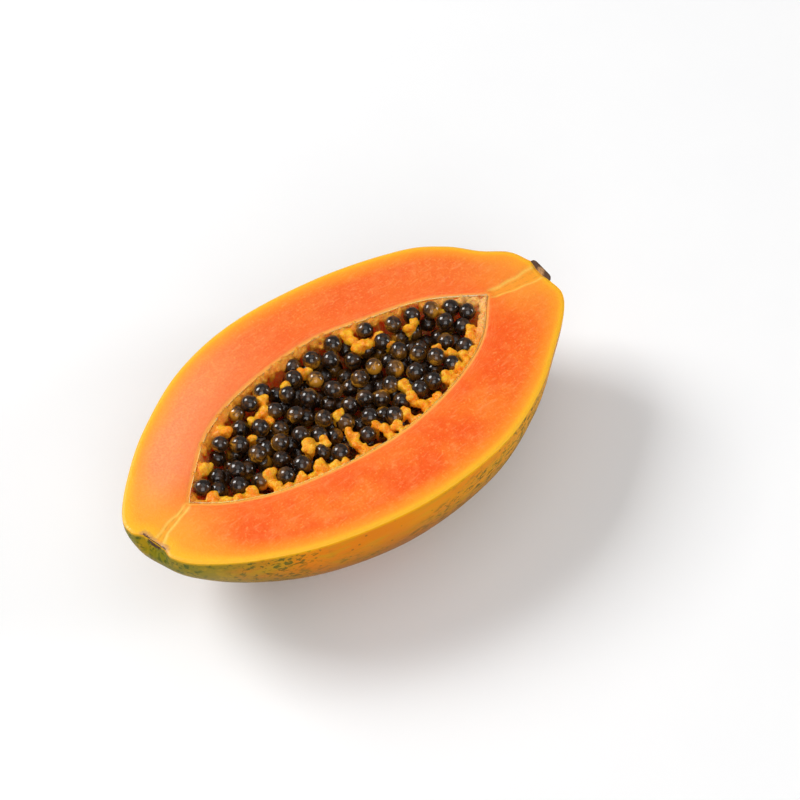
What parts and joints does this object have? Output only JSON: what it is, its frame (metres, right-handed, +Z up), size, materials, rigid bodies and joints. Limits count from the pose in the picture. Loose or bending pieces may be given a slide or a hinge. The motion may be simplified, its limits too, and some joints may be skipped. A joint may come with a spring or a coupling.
{
  "type": "papaya half",
  "caption": "Half of a ripe papaya cut lengthwise, lying on its back with the cut face up: orange flesh, mottled green and yellow skin, and a cavity full of round black seeds among pulp tufts.",
  "frame": {"origin": "middle of the underside of the fruit's bounding box, on the surface that it lies on", "axes": "+X from the blossom end to the stem end along the cut face, +Z up out of the cut face, +Y to the side where the fruit is wider"},
  "size_m": [0.1812, 0.104, 0.048],
  "materials": {
    "flesh": "moist orange cut flesh with a pale rim, under waxy skin mottled green, yellow and orange",
    "seeds": "glossy near-black seed gel, with some seeds olive brown"
  },
  "bodies": {
    "root": {"papaya_half": "flesh", "seed_pile": "seeds"}
  },
  "joints": []
}
